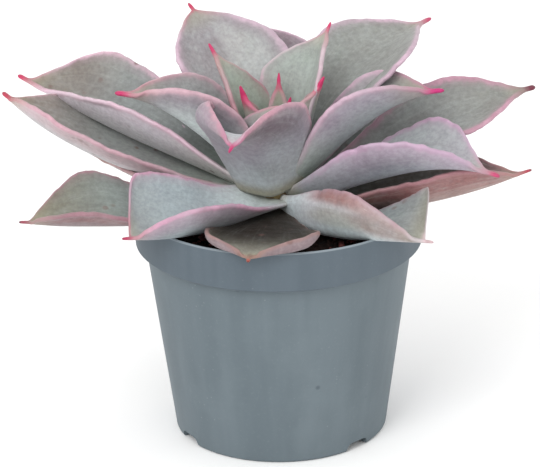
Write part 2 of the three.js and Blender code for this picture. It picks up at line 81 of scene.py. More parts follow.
# The tip is the place of a leaf's point, and height is that of its foot.
LEAVES = {
    "outer_leaf_1": dict(
        tip=(-11, -60, 87), height=84.5, pitch=1, tip_pitch=-38, foot_reach=0.3, tip_reach=0.15,
        width=(24.5, 20), widest=0.72, foot=0.3, late=2.2, taper=1.6, keel=6, edge=-9, lip=110,
        foot_fold=0, fold_from=0.4, fold_full=0.7, tip_fold=2.4, thick=2.8),
    "outer_leaf_2": dict(
        tip=(54, -48, 88.5), height=84, pitch=-6, tip_pitch=-4, foot_turn=-18, bend=25, width=(25.5, 19),
        widest=(0.9, 0.56), late=(2.6, 1.25), taper=(1, 1.2), keel=(25, 40), edge=(46, 70), lip=(0, 60),
        roll=-42, twist=42),
    "outer_leaf_3": dict(
        tip=(-55, -46, 91), height=88, pitch=-2, tip_pitch=8, foot_turn=12, bend=-12, width=(20, 28),
        widest=(0.7, 0.78), foot=(0.5, 0.45), late=(1.9, 1.8), taper=(1.1, 0.9), keel=25, edge=(65, 55),
        foot_fold=(0.2, 0.6), fold_full=0.45),
    "outer_leaf_4": dict(
        tip=(-92, -31, 92), height=81, pitch=13, tip_pitch=2, foot_turn=12, bend=-18, width=(15.5, 25),
        widest=(0.84, 0.72), foot=(0.05, 0.2), late=(3.5, 1.6), taper=0.95, edge=45, foot_fold=(0, 0.3),
        fold_from=0.35, fold_full=0.72),
    "outer_leaf_5": dict(
        tip=(92, 0, 97), height=86, pitch=-8, tip_pitch=18, width=(22, 20), widest=(0.6, 0.72), foot=0.32,
        late=1.5, keel=30, edge=58),
    "outer_leaf_6": dict(
        tip=(-70, 24, 98), height=85, pitch=2, tip_pitch=20, width=16, widest=0.6, keel=15, edge=35),
    "outer_leaf_7": dict(BACK, tip=(64, 47, 96), height=84, pitch=6, tip_pitch=8, widest=0.68, edge=45),
    "outer_leaf_8": dict(BACK, tip=(21, 83, 96), height=83, pitch=8, tip_pitch=10, width=21, edge=45),
    "outer_leaf_9": dict(BACK, tip=(-28, 83, 97), height=86, pitch=6, tip_pitch=6),
    "outer_leaf_10": dict(
        BACK, tip=(-62, 60, 93), height=82, pitch=8, tip_pitch=4, width=19, keel=15, edge=36),
    "middle_leaf_1": dict(
        tip=(-100, 20, 123), height=90, tip_pitch=38, tip_reach=0.34, width=(22, 26), widest=(0.8, 0.75),
        foot=(0.2, 0.4), late=(1.8, 1.4), taper=(0.85, 1.15), keel=(20, 2), edge=(50, 12),
        tip_fold=(1.35, 1), roll=4, twist=-10, point_radius=1.1),
    "middle_leaf_2": dict(
        tip=(79, -20, 102), height=88, pitch=18, tip_pitch=-20, width=(22, 18), widest=(0.7, 0.5),
        foot=(0.2, 0.42), late=(2.4, 1.25), taper=(1.7, 1.2), keel=(25, 42), edge=(45, 62), lip=(0, 20),
        roll=-16, twist=24, bumps=0.22, point_radius=1),
    "middle_leaf_3": dict(
        tip=(-96, 45, 121), height=89, pitch=20, tip_pitch=22, width=(23.5, 27), widest=(0.5, 0.76),
        foot=0.3, late=1.4, taper=(1.6, 1.25), keel=(32, 25), edge=(64, 60), point_radius=1.1),
    "middle_leaf_4": dict(
        tip=(95, 25, 120), height=90, pitch=22, tip_pitch=8, width=(15.5, 21), widest=(0.68, 0.7),
        foot=(0.12, 0.15), late=(2.1, 2.2), taper=(1.2, 1.3), keel=12, edge=32, roll=20,
        point_radius=1.15),
    "middle_leaf_5": dict(
        tip=(-10, 76, 131), height=92, pitch=36, tip_pitch=10, width=(20, 22), widest=(0.66, 0.65),
        keel=(20, 10), edge=(45, 30)),
    "middle_leaf_6": dict(BACK, tip=(-53, 74, 107), height=88, pitch=18, tip_pitch=6, keel=22),
    "middle_leaf_7": dict(
        BACK, tip=(42, 74, 107), height=88, pitch=18, tip_pitch=8, width=21, widest=0.68, foot=0.25,
        late=1.6, keel=22),
    "upper_leaf_1": dict(
        tip=(58, 50, 139), height=93, pitch=56, tip_pitch=8, foot_reach=0.42, width=(22, 29.5),
        widest=(0.62, 0.58), foot=(0.2, 0.12), late=(1.5, 2.4), taper=(1.25, 1.3), keel=15, edge=(40, 32),
        point_length=4, point_radius=1.1),
    "upper_leaf_2": dict(
        tip=(-32, 45, 148), height=94, pitch=54, tip_pitch=40, foot_turn=-12, bend=15, width=(23.5, 22),
        widest=(0.7, 0.6), foot=(0.26, 0.36), late=(1.5, 1.25), taper=(0.7, 1), keel=10, edge=30),
    "upper_leaf_3": dict(
        tip=(60, -3, 129), height=94, pitch=44, tip_pitch=2, width=(16.5, 22), widest=(0.66, 0.55),
        foot=(0.34, 0.35), late=(1.5, 1.25), keel=32, edge=(56, 62), point_radius=1.15),
    "upper_leaf_4": dict(
        tip=(-58, 0, 129), height=94, pitch=42, tip_pitch=5, width=(19, 21), widest=(0.45, 0.55),
        keel=(45, 30), edge=(85, 54), point_radius=1.3),
    "upper_leaf_5": dict(
        tip=(-17, -45, 122), height=92.5, foot_radius=8, pitch=68, tip_pitch=-25, foot_reach=0.42,
        width=(24, 32), widest=(0.52, 0.54), foot=(0.66, 0.5), late=(1.25, 1.15), keel=(13, 10),
        edge=(50, 60), lip=(25, 135), foot_fold=(1.2, 0.55), roll=12),
    "heart_leaf_1": dict(
        HEART, tip=(20, 15, 149.5), height=100, pitch=70, width=(19, 16.5), foot=(0.5, 0.3), late=1.4,
        edge=(50, 42)),
    "heart_leaf_2": dict(
        HEART, tip=(-24, 5, 145.5), height=100, width=(10, 16), widest=0.4, foot=0.6, keel=(10, 20),
        edge=(30, 45), roll=-8),
    "heart_leaf_3": dict(
        HEART, tip=(-7, 21, 125), height=102, tip_pitch=50, width=10, widest=0.45, foot=0.6),
    "heart_leaf_4": dict(
        HEART, tip=(5, -12, 130.5), height=104, pitch=70, width=(14, 17), widest=0.5, foot=0.6, edge=60),
    "heart_leaf_5": dict(HEART, tip=(17, -6, 136), height=104, width=10, widest=0.45, foot=0.6),
    "heart_leaf_6": dict(HEART, tip=(-13, -3, 132), height=106, pitch=70, tip_pitch=70, width=6, edge=60),
    "heart_leaf_7": dict(POINT, tip=(1, 5, 134), height=107, foot_radius=3.4, width=4, thick=2.4),
    "heart_leaf_8": dict(POINT, tip=(2, -4, 119), height=108, width=4),
    "heart_leaf_9": dict(POINT, tip=(4, 1, 120), height=109),
    "heart_leaf_10": dict(POINT, tip=(-4, 1, 121), height=109),
}

# How each leaf looks. Colours are red, green and blue from 0 to 255, as on a screen.
LOOK_DEFAULTS = {
    "face": (158, 168, 163),  # upper side
    "face_foot": (150, 172, 160),
    "face_end": (160, 162, 158),
    "back": (186, 180, 192),  # lower side near the margins
    "back_low": (166, 182, 186),  # lower side near the midrib
    "back_foot": (176, 184, 182),
    "clasp": (168, 172, 132),  # the foot's last stretch
    "margin": (212, 178, 196),
    "tip": (226, 72, 120),
    "behind_tip": (178, 174, 140),
    "band": 1.3,  # width of the coloured margin
    "blush": 0.4,  # how strong its colour spreads inwards
    "blush_width": 6,
    "tip_length": 4,
    "farina": 0.22,  # pale waxy bloom
    "streaks": 0.22,
    "mottle": 0.5,
    "dark_point": 0.3,
    "shine": 0.36,
    "specks": 0.0,
    "scuffs": 0.0,
    "patches": (),  # (side, along, across, length mm, width mm, colour, strength)
}

OLD = dict(dark_point=0.8, margin=(184, 142, 146), tip=(178, 84, 96), specks=0.5, scuffs=0.3)
YOUNG = dict(
    face=(168, 182, 168), face_foot=(164, 184, 170), face_end=(170, 180, 168), back=(180, 184, 184),
    tip=(216, 56, 112), tip_length=3.5, band=1)

LOOKS = {
    # Its foot is dark brown: dry tissue, painted darker still as painted shade of the deep gap between the
    # outer feet; its low shine keeps that shade free of reflection.
    "outer_leaf_1": dict(
        OLD, face=(120, 118, 106), face_foot=(104, 84, 44), face_end=(160, 160, 146), back=(158, 140, 144),
        margin=(154, 122, 118), tip=(170, 92, 84), behind_tip=(160, 150, 110), band=0.9, blush=0.15,
        tip_length=2.5, farina=0.06, streaks=0.1, shine=0.12, scuffs=0,
        patches=(
            ("face", 0.32, 0, 26, 26, (36, 24, 12), 0.97),
            ("back", 0.2, 0, 20, 30, (40, 26, 14), 0.9))),
    # Painted light: its lower side and foot are painted near white to lift the shade that falls on them.
    "outer_leaf_2": dict(
        OLD, face=(160, 172, 172), back=(228, 224, 228), back_low=(220, 236, 238),
        back_foot=(238, 252, 255), clasp=(226, 226, 214), margin=(176, 142, 150), tip=(226, 196, 200),
        streaks=0.25, dark_point=0.1, scuffs=0.35,
        patches=(
            ("back", 0.5, -0.88, 15, 3.2, (160, 92, 92), 0.8),
            ("back", 0.5, -0.45, 16, 4, (170, 160, 120), 0.35),
            ("back", 0.62, -0.8, 22, 2.5, (160, 112, 98), 0.5),
            ("back", 0.8, -0.5, 16, 8, (158, 140, 134), 0.85))),
    "outer_leaf_3": dict(
        face=(182, 196, 200), face_foot=(232, 246, 246), face_end=(172, 180, 180), back=(176, 164, 176),
        clasp=(212, 222, 208), margin=(206, 156, 180), tip=(190, 56, 96), band=1.4, tip_length=3,
        specks=0.2, patches=(("face", 0.47, 0.2, 1, 0.9, (228, 230, 228), 0.9),)),
    "outer_leaf_4": dict(
        OLD, face=(150, 162, 156), face_foot=(184, 200, 202), face_end=(134, 130, 110),
        back=(134, 96, 100), back_low=(130, 100, 102), margin=(166, 124, 134), tip=(160, 74, 92),
        patches=(("back", 0.6, 0.7, 34, 3, (150, 92, 92), 0.5),)),
    "outer_leaf_5": dict(
        OLD, face=(134, 128, 120), face_foot=(112, 122, 114), face_end=(142, 108, 106),
        back=(182, 132, 130), back_low=(178, 140, 132), back_foot=(160, 150, 120), margin=(170, 116, 124),
        tip=(184, 66, 84), streaks=0.45, patches=(("back", 0.6, -0.75, 34, 5, (150, 82, 78), 0.6),)),
    "outer_leaf_6": dict(OLD, back=(160, 160, 150), back_low=(150, 156, 146)),
    "outer_leaf_7": dict(OLD),
    "outer_leaf_8": dict(OLD, face=(150, 162, 156)),
    "outer_leaf_9": dict(OLD, face=(152, 160, 150)),
    "outer_leaf_10": dict(OLD, face=(148, 162, 156)),
    "middle_leaf_1": dict(
        face=(166, 170, 166), face_foot=(160, 170, 160), face_end=(148, 136, 126), back=(222, 200, 206),
        back_low=(196, 192, 194), margin=(212, 168, 180), tip=(196, 66, 90), specks=0.9,
        patches=(
            ("back", 0.66, 0.86, 1.4, 1.2, (112, 70, 58), 0.9),
            ("back", 0.5, 0.8, 40, 4, (190, 158, 160), 0.4))),
    "middle_leaf_2": dict(
        face=(180, 186, 188), face_end=(186, 184, 190), back=(194, 180, 196), back_low=(166, 172, 182),
        back_foot=(206, 212, 218), margin=(200, 164, 190), tip=(204, 74, 118), band=1.9, blush=0.5),
    # Painted light: its lower side, the near flap, is painted almost white so that it reads as brightly
    # lit.
    "middle_leaf_3": dict(
        face=(152, 158, 156), face_foot=(126, 138, 128), face_end=(150, 140, 128), back=(255, 246, 255),
        back_low=(255, 252, 255), back_foot=(240, 244, 236), margin=(224, 186, 202), tip=(206, 52, 98),
        band=1.7, specks=0.8,
        patches=(
            ("back", 0.62, 0.92, 9, 0.8, (108, 74, 92), 0.6),
            ("face", 0.62, 0.1, 9, 6, (128, 116, 106), 0.5))),
    "middle_leaf_4": dict(
        face=(160, 164, 160), face_foot=(146, 136, 132), face_end=(150, 150, 142), margin=(200, 148, 168),
        tip=(120, 48, 68), band=2, blush=0.5),
    "middle_leaf_5": dict(face=(136, 118, 128), face_foot=(120, 108, 116), face_end=(140, 122, 130)),
    "middle_leaf_6": dict(),
    "middle_leaf_7": dict(face=(152, 160, 158)),
    "upper_leaf_1": dict(
        face=(156, 160, 154), face_foot=(124, 130, 124), face_end=(158, 158, 152), margin=(208, 176, 194),
        tip=(204, 66, 110), band=2, blush=0.5),
    "upper_leaf_2": dict(
        face=(172, 168, 170), face_foot=(240, 244, 232), face_end=(162, 154, 158), margin=(208, 180, 196),
        tip=(204, 60, 100), band=2, blush=0.5, farina=0.4,
        patches=(("face", 0.62, -0.35, 16, 8, (206, 210, 206), 0.7),)),
    "upper_leaf_3": dict(
        face=(172, 170, 172), back=(180, 170, 184), back_low=(178, 184, 188), back_foot=(192, 206, 198),
        margin=(204, 170, 188), tip=(204, 44, 122), band=1.7, tip_length=6.5),
    # Painted light: its lower side is painted pale near the midrib and foot so that its shaded flap reads
    # as lit.
    "upper_leaf_4": dict(
        face=(160, 160, 160), back=(158, 150, 158), back_low=(228, 240, 238), back_foot=(240, 250, 246),
        margin=(206, 166, 178), tip=(208, 52, 110), band=1.8, tip_length=5),
    # Painted light: its upper side is painted near white to lift the shade in the hollow of its fold.
    "upper_leaf_5": dict(
        face=(236, 242, 244), face_end=(206, 214, 220), back=(168, 163, 174), back_low=(184, 188, 196),
        back_foot=(198, 206, 208), clasp=(150, 140, 96), margin=(206, 152, 168), tip=(200, 54, 114),
        behind_tip=(186, 150, 150), band=1.5, blush=0.35,
        patches=(
            ("back", 0.84, 0.5, 22, 14, (110, 88, 98), 0.8),
            ("back", 0.6, -0.5, 20, 14, (176, 156, 170), 0.6))),
    "heart_leaf_1": dict(
        YOUNG, face=(182, 192, 184), face_foot=(255, 255, 250), face_end=(176, 186, 176),
        margin=(206, 180, 190)),
    "heart_leaf_2": dict(
        YOUNG, face=(180, 192, 176), back=(150, 146, 138), margin=(196, 146, 156), tip_length=4),
    "heart_leaf_3": dict(YOUNG),
    "heart_leaf_4": dict(YOUNG, face_end=(168, 172, 160), tip_length=5),
    "heart_leaf_5": dict(YOUNG, tip_length=6.5),
    "heart_leaf_6": dict(YOUNG, tip_length=8),
    "heart_leaf_7": dict(YOUNG, tip_length=6),
    "heart_leaf_8": dict(YOUNG, tip_length=2),
    "heart_leaf_9": dict(YOUNG, tip_length=2),
    "heart_leaf_10": dict(YOUNG, tip_length=2),
}

# Mesh of a leaf: stations from foot to tip, and columns once round its section.
LEAF_GRID = (96, 80)
HEART_GRID = (60, 56)

# Each half folds in equal steps from the midrib (0) to the margin (1).
SECTION_STEPS = 160
SECTION = np.linspace(0, 1, SECTION_STEPS + 1)
KEEL_TO = 0.18  # where the rise next to the midrib is full
LIP_FROM = 0.65  # where the lip starts
TIP_FOLD_FROM = 0.75  # share of the leaf's length where the fold starts to turn into the tip's
FULLY_FOLDED_WIDTH = 5  # half width below which the leaf folds less

# The margin with the bead behind it, the rib under the midrib and the fine point.
MARGIN_THICKNESS = 1.4
BEAD_DEPTH, BEAD_FROM_EDGE, BEAD_WIDTH = 0.1, 0.8, 0.7
RIB_DEPTH, RIB_WIDTH = 0.3, 0.14  # shares of the leaf's thickness and of its half width
POINT_FROM, POINT_PAST_END = 0.8, 1.02  # shares of the length, past 1 to keep the tip blunt

# Waves of the margin, by their lengths, and the scallops of its outline.
LONG_WAVES, SHORT_WAVES = (31, 17), (8.3, 5.2, 3.1)
SCALLOP_LENGTHS, SCALLOP_HEIGHTS = (11, 6.1, 3.7), (0.25, 0.16, 0.1)
SCALLOPS_FOR_BUMPS = 0.16  # height of bumps that the scallops' heights are stated for
FULLY_SCALLOPED_WIDTH = 6

FIRST_LEAF_SEED = 100
USUAL_HALF_WIDTH = 20  # across the blade, for its grain and patches
SKIN_DEPTH = 0.8  # how much of a screen colour the skin keeps, since the studio light brightens it

# Colours in every leaf's skin. Those from mottle on multiply what lies under them.
SKIN_COLOURS = {
    "bloom": (186, 194, 194), "pale_streak": (192, 198, 190), "speck": (112, 84, 78),
    "scuff": (226, 220, 218), "mottle": (222, 208, 214), "cloud": (196, 204, 198),
    "dark_streak": (216, 206, 198), "dark_grain": (230, 228, 230), "light_grain": (255, 255, 255),
    "margin_grain": (172, 160, 168)}

# Sockets of Blender's mix node.
MIX_SHARE, MIX_FIRST, MIX_SECOND, MIX_RESULT = 0, 6, 7, 2


def linear(colour):
    """A screen colour as the shader's linear one."""
    parts = [c / 255 for c in colour]
    return tuple(c / 12.92 if c <= 0.04045 else ((c + 0.055) / 1.055) ** 2.4 for c in parts) + (1.0,)


def waxy(colour):
    """A leaf colour as the shader's linear one, as deep as it is before the studio light falls on it."""
    return tuple(SKIN_DEPTH * c for c in linear(colour)[:3]) + (1.0,)


def smooth(value, start, end):
    """0 before start, 1 after end and an even curve between them."""
    t = np.clip((value - start) / (end - start), 0, 1)
    return t * t * (3 - 2 * t)


def both(value):
    """The value for each half of a leaf."""
    return value if isinstance(value, tuple) else (value, value)


class Finish:
    """A node material that is being mixed."""

    def __init__(self, name, settings):
        self.material = bpy.data.materials.new(name)
        self.material.use_nodes = True
        self.nodes = self.material.node_tree.nodes
        self.links = self.material.node_tree.links
        self.shader = self.nodes["Principled BSDF"]
        for socket, value in settings.items():
            self.shader.inputs[socket].default_value = value
        self.object_place = self.add("TexCoord").outputs["Object"]

    def add(self, kind, inputs=None, **settings):
        node = self.nodes.new("ShaderNode" + kind)
        for name, value in settings.items():
            setattr(node, name, value)
        for socket, value in (inputs or {}).items():
            self.feed(node.inputs[socket], value)
        return node

    def feed(self, socket, value):
        if isinstance(value, bpy.types.NodeSocket):
            self.links.new(value, socket)
        else:
            socket.default_value = value

    def attribute(self, name, output="Fac"):
        return self.add("Attribute", attribute_name=name).outputs[output]

    def stretched(self, place, scale, turn=(0, 0, 0)):
        return self.add("Mapping", {"Vector": place, "Scale": scale, "Rotation": turn}).outputs["Vector"]

    def grain(self, place, scale, detail=3.0, roughness=0.55):
        inputs = {"Vector": place, "Scale": scale, "Detail": detail, "Roughness": roughness}
        return self.add("TexNoise", inputs).outputs["Fac"]

    def cells(self, place, scale):
        return self.add("TexVoronoi", {"Vector": place, "Scale": scale})

    def math(self, operation, first, second=0.0, clamp=False):
        return self.add("Math", {0: first, 1: second}, operation=operation, use_clamp=clamp).outputs[0]

    def fade(self, value, start, end, low=0.0, high=1.0):
        """An even curve from low at start to high at end."""
        inputs = {"Value": value, "From Min": start, "From Max": end, "To Min": low, "To Max": high}
        return self.add("MapRange", inputs, interpolation_type="SMOOTHSTEP").outputs["Result"]

    def mix(self, share, first, second, blend="MIX"):
        inputs = {MIX_SHARE: share, MIX_FIRST: first, MIX_SECOND: second}
        return self.add("Mix", inputs, data_type="RGBA", blend_type=blend).outputs[MIX_RESULT]

    def times(self, *values):
        made = values[0]
        for value in values[1:]:
            made = self.math("MULTIPLY", made, value)
        return made

    def paint(self, colour, roughness, height, depth, strength=1.0):
        """Joins the mixed colour, roughness and bump height to the shader."""
        self.feed(self.shader.inputs["Base Color"], colour)
        self.feed(self.shader.inputs["Roughness"], roughness)
        bump = self.add("Bump", {"Height": height, "Distance": depth, "Strength": strength})
        self.feed(self.shader.inputs["Normal"], bump.outputs["Normal"])
        return self.material


def leaf_finish(name, look):
    """The waxy skin of one leaf, over the pigment stored on its mesh."""
    skin = Finish(name, {
        "Subsurface Weight": 0.06, "Subsurface Radius": (0.9, 0.8, 0.8), "Subsurface Scale": 1.2 * MM,
        "Specular IOR Level": look["shine"], "Sheen Weight": look["shine"] / 4, "Sheen Roughness": 0.45})
    tint = {key: linear(colour) for key, colour in SKIN_COLOURS.items()}
    place = skin.object_place
    blade = skin.attribute("blade", "Vector")
    margin = skin.attribute("margin_mm")
    tip = skin.attribute("tip_mm")
    along = skin.attribute("along")
    broad = skin.grain(place, 62, 3)
    cloud = skin.grain(place, 150, 4, 0.6)
    medium = skin.grain(place, 340, 4, 0.65)
    fine = skin.grain(place, 620, 4, 0.65)
    lines = skin.grain(skin.stretched(blade, (0.75, 0.05, 1)), 1.0, 4, 0.6)
    threads = skin.grain(skin.stretched(blade, (2.6, 0.14, 1)), 1.0, 3, 0.6)

    colour = skin.attribute("pigment", "Color")
    mottle = skin.times(skin.fade(broad, 0.38, 0.66), look["mottle"])
    colour = skin.mix(skin.math("MULTIPLY", mottle, 0.5), colour, tint["mottle"], "MULTIPLY")
    shade = skin.math("MULTIPLY", skin.fade(cloud, 0.5, 0.72), look["mottle"] * 0.5)
    colour = skin.mix(shade, colour, tint["cloud"], "MULTIPLY")
    bloom = skin.times(skin.fade(medium, 0.78, 0.22), skin.fade(broad, 0.62, 0.4, 0.4, 1), look["farina"])
    colour = skin.mix(bloom, colour, tint["bloom"])
    pale_lines = skin.math("MULTIPLY", skin.fade(lines, 0.52, 0.7), look["streaks"] * 0.6)
    colour = skin.mix(pale_lines, colour, tint["pale_streak"])
    dark_lines = skin.math("MULTIPLY", skin.fade(lines, 0.48, 0.3), look["streaks"])
    colour = skin.mix(dark_lines, colour, tint["dark_streak"], "MULTIPLY")
    grain = skin.mix(skin.fade(fine, 0.3, 0.7), tint["dark_grain"], tint["light_grain"])
    colour = skin.mix(1.0, colour, grain, "MULTIPLY")

    # The margin: a narrow band that fades unevenly inwards, pinker close to the point.
    reach = look["tip_length"]
    uneven = skin.math("MULTIPLY", skin.math("SUBTRACT", medium, 0.5), look["band"] * 1.8)
    edge_place = skin.math("ADD", margin, uneven)
    pale_margin = tuple(min(255, c + 16) for c in look["margin"])
    rosy = skin.mix(skin.fade(cloud, 0.35, 0.65), waxy(look["margin"]), waxy(pale_margin))
    red, green, blue = look["tip"]
    rose = (red, green + 24, min(255, blue + 38))
    rosy = skin.mix(skin.fade(tip, reach * 2.6 + 1, reach * 0.9, 0, 0.85), rosy, waxy(rose))
    rosy = skin.mix(skin.fade(fine, 0.4, 0.75, 0, 0.25), rosy, tint["margin_grain"], "MULTIPLY")
    strong = skin.times(skin.fade(broad, 0.32, 0.62, 0.5, 0.92), skin.fade(along, 0.06, 0.3, 0.15, 1))
    blush = skin.times(skin.fade(edge_place, look["blush_width"], 0.4, 0, look["blush"] * 0.7), strong)
    colour = skin.mix(blush, colour, rosy)
    band = skin.times(skin.fade(edge_place, look["band"] * 1.6, look["band"] * 0.35), strong)
    colour = skin.mix(band, colour, rosy)

    # The point, and the yellow-green flush behind it.
    near = skin.math("ADD", tip, skin.math("MULTIPLY", skin.math("SUBTRACT", medium, 0.5), 3.0))
    flush = skin.times(skin.fade(near, reach * 3.4, reach * 1.2), 0.35)
    colour = skin.mix(flush, colour, waxy(look["behind_tip"]))
    colour = skin.mix(skin.fade(near, reach * 1.3, reach * 0.4), colour, waxy(look["tip"]))
    dark_tip = tuple(c * 0.62 for c in look["tip"])
    colour = skin.mix(skin.fade(tip, 1.1, 0.2, 0, look["dark_point"]), colour, waxy(dark_tip))

    # Small brown marks and pale scratches of age.
    spots = skin.cells(place, 190)
    chosen = skin.fade(skin.grain(place, 48, 2), 0.5, 0.6)
    speck = skin.times(skin.fade(spots.outputs["Distance"], 0.3, 0.12), chosen, look["specks"])
    colour = skin.mix(speck, colour, tint["speck"])
    scuff = skin.times(skin.fade(threads, 0.62, 0.72), skin.fade(broad, 0.5, 0.62), look["scuffs"])
    colour = skin.mix(scuff, colour, tint["scuff"])

    smoother_margin = skin.fade(edge_place, 3, 0.5, 0, -0.08)
    roughness = skin.math("ADD", skin.fade(cloud, 0.3, 0.7, 0.46, 0.6), smoother_margin)
    height = skin.math("ADD", skin.math("MULTIPLY", fine, 0.35), skin.math("MULTIPLY", threads, 0.3))
    height = skin.math("ADD", height, skin.math("MULTIPLY", cloud, 0.8))
    return skin.paint(colour, roughness, height, 0.5 * MM, 0.5)


def half_widths(leaf, share, length, side):
    """Half width at each share of the length: it widens from the foot and closes to the fine point."""
    fine = leaf["point_length"] / length
    t = np.clip(share / (1 - fine), 0, 1)
    widest, foot = both(leaf["widest"])[side], both(leaf["foot"])[side]
    widened = np.sin(np.pi / 2 * np.clip(t / widest, 0, 1)) ** both(leaf["late"])[side]
    rise = foot + (1 - foot) * widened
    fall = np.cos(np.pi / 2 * np.clip((t - widest) / (1 - widest), 0, 1)) ** both(leaf["taper"])[side]
    blade = both(leaf["width"])[side] * np.where(t < widest, rise, fall)
    close = np.clip((POINT_PAST_END - share) / fine, 0, 1) ** 0.7
    point = np.where(share > POINT_FROM, leaf["point_radius"] * close, 0)
    return np.hypot(blade, point)


def unit(vectors):
    return vectors / np.linalg.norm(vectors, axis=-1, keepdims=True)


def midrib(leaf, share):
    """Points and section directions along the midrib, a cubic curve, and its straight length."""
    tip = np.array(leaf["tip"], float)
    azimuth = math.atan2(tip[1], tip[0]) + math.radians(leaf["foot_turn"])
    foot_radius = leaf["foot_radius"]
    foot = np.array([foot_radius * math.cos(azimuth), foot_radius * math.sin(azimuth), leaf["height"]])
    length = np.linalg.norm(tip - foot)

    def direction(turn, pitch):
        flat = math.cos(math.radians(pitch))
        return np.array([math.cos(turn) * flat, math.sin(turn) * flat, math.sin(math.radians(pitch))])

    last = math.atan2(tip[1] - foot[1], tip[0] - foot[0]) + math.radians(leaf["bend"])
    leave = foot + direction(azimuth, leaf["pitch"]) * length * leaf["foot_reach"]
    arrive = tip - direction(last, leaf["tip_pitch"]) * length * leaf["tip_reach"]
    t = share[:, None]
    points = (1 - t) ** 3 * foot + 3 * (1 - t) ** 2 * t * leave + 3 * (1 - t) * t**2 * arrive + t**3 * tip
    forward = unit(
        (1 - t) ** 2 * (leave - foot) + 2 * (1 - t) * t * (arrive - leave) + t**2 * (tip - arrive))
    across = np.array([-math.sin(azimuth), math.cos(azimuth), 0])
    flat = unit(across - (forward @ across)[:, None] * forward)
    rise = np.cross(forward, flat)
    turn = np.radians(leaf["roll"] + leaf["twist"] * t)
    side = flat * np.cos(turn) + rise * np.sin(turn)
    up = rise * np.cos(turn) - flat * np.sin(turn)
    return points, side, up, length


def waves(chance, place, lengths, heights):
    """A random wavy line: one sine for each length, with its own height, start and stretch."""
    made = np.zeros_like(place)
    for length, height in zip(lengths, heights):
        stretch, start = chance.uniform(0.85, 1.15), chance.uniform(0, 2 * math.pi)
        made = made + height * np.sin(2 * math.pi * place / (length * stretch) + start)
    return made


def folded_half(leaf, share, width, half):
    """The slope of one half in steps from the midrib, and how far out and up they lead at a width of 1."""
    foot, tip = both(leaf["foot_fold"])[half], both(leaf["tip_fold"])[half]
    places = [0, leaf["fold_from"], leaf["fold_full"], TIP_FOLD_FROM, 1]
    fold = np.interp(share, places, [foot, foot, 1, 1, tip])
    fold = fold * np.minimum(1, width / FULLY_FOLDED_WIDTH)
    keel, edge, lip = (both(leaf[key])[half] for key in ("keel", "edge", "lip"))
    rising = keel * np.minimum(1, SECTION / KEEL_TO) + (edge - keel) * SECTION
    rising = rising + lip * np.maximum(0, SECTION - LIP_FROM) / (1 - LIP_FROM)
    slope = np.radians(fold[:, None] * rising[None, :])
    between = (slope[:, 1:] + slope[:, :-1]) / 2
    start = np.zeros((len(share), 1))
    out, rise = (np.concatenate([start, np.cumsum(turned(between), 1)], 1) / SECTION_STEPS
                 for turned in (np.cos, np.sin))
    return slope, out, rise


def blade_depth(thick, from_edge, u, upper, fading):
    """Half the thickness at the share u of a half: round at the margin, with a rib under the midrib."""
    slim = np.minimum(MARGIN_THICKNESS, thick)
    depth = (thick + (slim - thick) * u**1.5) / 2
    depth = depth + BEAD_DEPTH * np.exp(-(((from_edge - BEAD_FROM_EDGE) / BEAD_WIDTH) ** 2)) * fading
    nose = np.clip(1 - from_edge / np.maximum(0.05, depth * 1.15), 0, 1)
    depth = depth * np.sqrt(np.clip(1 - nose**2, 0, 1))
    return depth if upper else depth * (1 + RIB_DEPTH * math.exp(-((u / RIB_WIDTH) ** 2)))


def leaf_points(leaf, chance, stations, columns):
    """The leaf's surface as rows of points round it, with where each point lies on the blade."""
    share = 1 - (1 - np.linspace(0, 1, stations + 1)) ** 1.5
    middle, side, up, length = midrib(leaf, share)
    around = np.linspace(0, 2 * math.pi, columns + 1)
    across = np.cos(around)
    out_from = np.abs(across)
    upper = np.sin(around) >= 0
    first = across >= 0
    thick = leaf["thick"] * np.interp(share, [0, 0.5, 0.85, 1], [1.1, 1, 0.6, leaf["point_radius"] * 0.34])
    rounding = leaf["point_radius"] / length
    blunt = np.sqrt(np.clip(1 - np.clip((share - 1 + rounding) / rounding, 0, 1) ** 2, 0, 1))
    shape = np.zeros((stations + 1, columns + 1, 3))
    margin = np.zeros((stations + 1, columns + 1))
    fading = smooth(share, 0.12, 0.4) * smooth(share, 1.0, 0.88)
    wave, bumps = leaf["wave"], leaf["bumps"]
    for half, sign in enumerate((1, -1)):
        width = half_widths(leaf, share, length, half)
        scallop = waves(chance, share * length, SCALLOP_LENGTHS, SCALLOP_HEIGHTS)
        narrowed = np.minimum(1, width / FULLY_SCALLOPED_WIDTH)
        width = width + fading * bumps / SCALLOPS_FOR_BUMPS * scallop * narrowed
        slope, out, rise = folded_half(leaf, share, width, half)
        long_wave = waves(chance, share * length, LONG_WAVES, (wave, wave * 0.8))
        short_wave = waves(chance, share * length, SHORT_WAVES, (bumps, bumps, bumps * 0.6))
        for j in np.flatnonzero(first if sign > 0 else ~first):
            u = out_from[j]
            at, high, tilt = (
                np.stack([np.interp(u, SECTION, row) for row in rows]) for rows in (out, rise, slope))
            normal = up * np.cos(tilt)[:, None] - sign * side * np.sin(tilt)[:, None]
            from_edge = (1 - u) * width
            depth = blade_depth(thick, from_edge, u, upper[j], fading)
            lift = fading * (long_wave * u**3 + short_wave * u**8)
            offset = lift + depth * (1 if upper[j] else -1)
            shape[:, j] = (middle + (sign * side * (width * at)[:, None] + up * (width * high)[:, None]
                                     + normal * offset[:, None]))
            margin[:, j] = from_edge
    shape = middle[:, None] + (shape - middle[:, None]) * blunt[:, None, None]
    along = np.repeat(share[:, None], columns + 1, 1)
    return {"points": shape, "along": along, "across": np.repeat(across[None], stations + 1, 0),
            "upper": np.repeat(upper[None], stations + 1, 0), "margin": margin,
            "tip": (1 - along) * length, "length": length}


def blend(first, second, share):
    return first + (second - first) * share[..., None]


